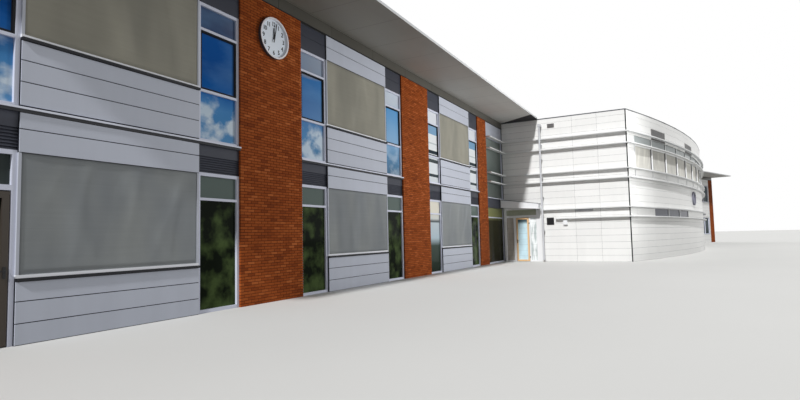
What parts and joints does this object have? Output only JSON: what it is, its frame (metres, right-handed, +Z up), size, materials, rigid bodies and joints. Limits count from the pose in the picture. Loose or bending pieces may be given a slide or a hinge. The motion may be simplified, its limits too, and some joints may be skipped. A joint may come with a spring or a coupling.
{
  "type": "childcare centre, half-scale model",
  "caption": "Two-storey childcare centre with brick piers, window columns, sunscreens, a flying roof, a clock and a curved boarded block; half-scale model.",
  "frame": {"origin": "under the long wing's ground slab, on the wing's centre line, where the first boarded panel begins", "axes": "+X along the long wing towards the curved block, +Y from the garden side into the building, +Z up"},
  "size_m": [37.94, 13.0367, 4.028],
  "materials": {
    "boards_white": "painted boards",
    "brick": "fair-faced brick",
    "frame_white": "satin",
    "dark_panel": "satin",
    "soffit": "satin",
    "screen_upper": "woven",
    "screen_lower": "woven",
    "glass": "clear",
    "slab": "cast",
    "slat": "satin",
    "oak": "oiled",
    "grey_metal": "satin",
    "black_metal": "satin",
    "dial": "gloss"
  },
  "bodies": {
    "building": {"band_screens": "screen_lower", "blank_plate": "black_metal", "block_back_wall": "boards_white", "block_glass": "glass", "block_last_wall": "boards_white", "block_roof": "slab", "boarded_panels": "boards_white", "brick_piers": "brick", "clock_case": "dial", "column_frames": "frame_white", "column_glass": "glass", "coping": "dark_panel", "curved_slats": "slat", "curved_wall_1": "boards_white", "curved_wall_2": "boards_white", "curved_wall_3": "boards_white", "curved_wall_4": "boards_white", "curved_wall_5": "boards_white", "dark_panels": "dark_panel", "door_hinges": "grey_metal", "downpipe": "grey_metal", "end_wall": "boards_white", "end_wall_over_entrance": "boards_white", "end_wall_slats": "slat", "entrance_canopy": "frame_white", "entrance_frame": "frame_white", "entrance_glass": "glass", "far_back_wall": "boards_white", "far_end_wall": "boards_white", "far_front_wall": "boards_white", "far_roof": "soffit", "far_window_glass": "glass", "fascia_band": "dark_panel", "first_floors": "slab", "gable_wall": "boards_white", "garden_door_frame": "frame_white", "glass_bay_slats": "slat", "glass_bay_wall": "boards_white", "ground_slabs": "slab", "lower_sunscreens": "screen_lower", "party_wall": "boards_white", "porthole_rim": "grey_metal", "screen_guides": "frame_white", "slat_brackets": "slat", "string_course": "frame_white", "upper_sunscreens": "screen_upper", "wall_lamp": "frame_white", "wall_vent": "grey_metal", "wide_window_frames": "dark_panel", "wide_window_glass": "glass", "wing_roof": "soffit"},
    "garden_door": {"garden_door_leaf": "grey_metal", "garden_door_glass": "glass", "garden_door_handle": "black_metal"},
    "entrance_door": {"entrance_door_leaf": "oak", "entrance_door_glass": "glass", "entrance_door_handle": "black_metal"},
    "minute_hand": {"minute_hand": "black_metal"},
    "hour_hand": {"hour_hand": "black_metal"}
  },
  "joints": [
    {"name": "garden_door_hinge", "type": "hinge", "parent": "building", "child": "garden_door", "pos_m": [-0.5405, -2.483, 0.5], "axis": [0, 0, -1], "range_deg": [0, 100]},
    {"name": "entrance_door_hinge", "type": "hinge", "parent": "building", "child": "entrance_door", "pos_m": [12.177, -3.1605, 0.5], "axis": [0, 0, 1], "range_deg": [0, 95]},
    {"name": "minute_hand_turn", "type": "hinge", "parent": "building", "child": "minute_hand", "pos_m": [2.8225, -2.5, 3.236], "axis": [0, 1, 0], "continuous": true},
    {"name": "hour_hand_turn", "type": "hinge", "parent": "building", "child": "hour_hand", "pos_m": [2.8225, -2.5, 3.236], "axis": [0, 1, 0], "continuous": true}
  ],
  "couplings": [
    {"joint": "hour_hand_turn", "follows": "minute_hand_turn", "ratio": 0.083333}
  ]
}
